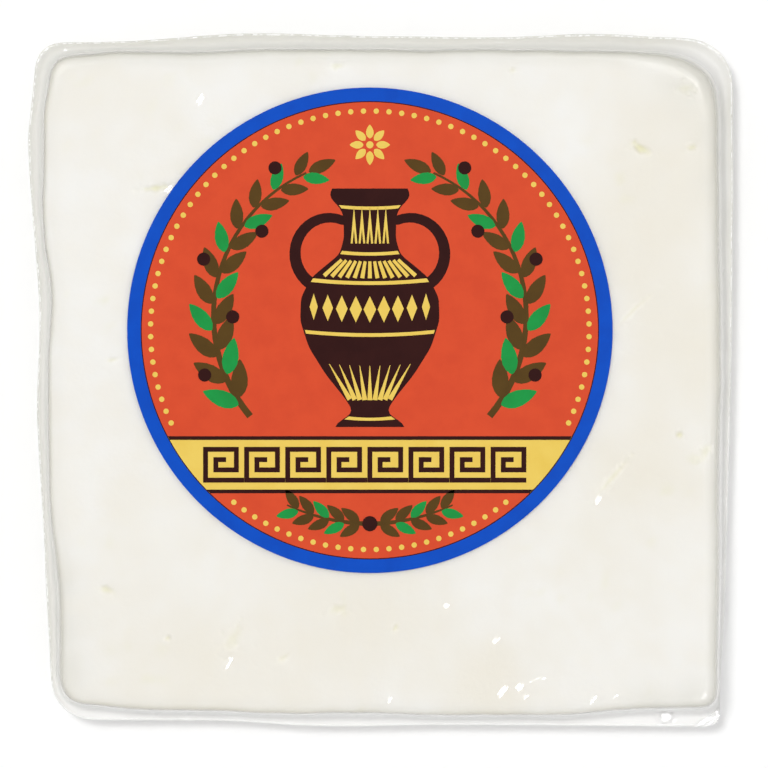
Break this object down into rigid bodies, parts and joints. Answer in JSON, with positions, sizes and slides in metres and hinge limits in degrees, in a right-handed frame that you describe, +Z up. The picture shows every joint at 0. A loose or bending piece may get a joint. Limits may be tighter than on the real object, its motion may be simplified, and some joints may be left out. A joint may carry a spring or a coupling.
{
  "type": "feta block",
  "caption": "Square block of feta cheese sealed in clear film, with a thin sealed fin round its sides and a round label on top.",
  "frame": {"origin": "on the surface that the pack lies on, under the middle of the outline of its fin", "axes": "+Z up, out of the labelled face; +X to the label's right; +Y to the label's top"},
  "size_m": [0.1078, 0.106, 0.0225],
  "materials": {
    "film_pack": "gloss",
    "film": "gloss",
    "cheese": "matte",
    "label": "satin",
    "label_print": "satin"
  },
  "bodies": {
    "root": {"film_pack": "film_pack", "label": "label"}
  },
  "joints": []
}
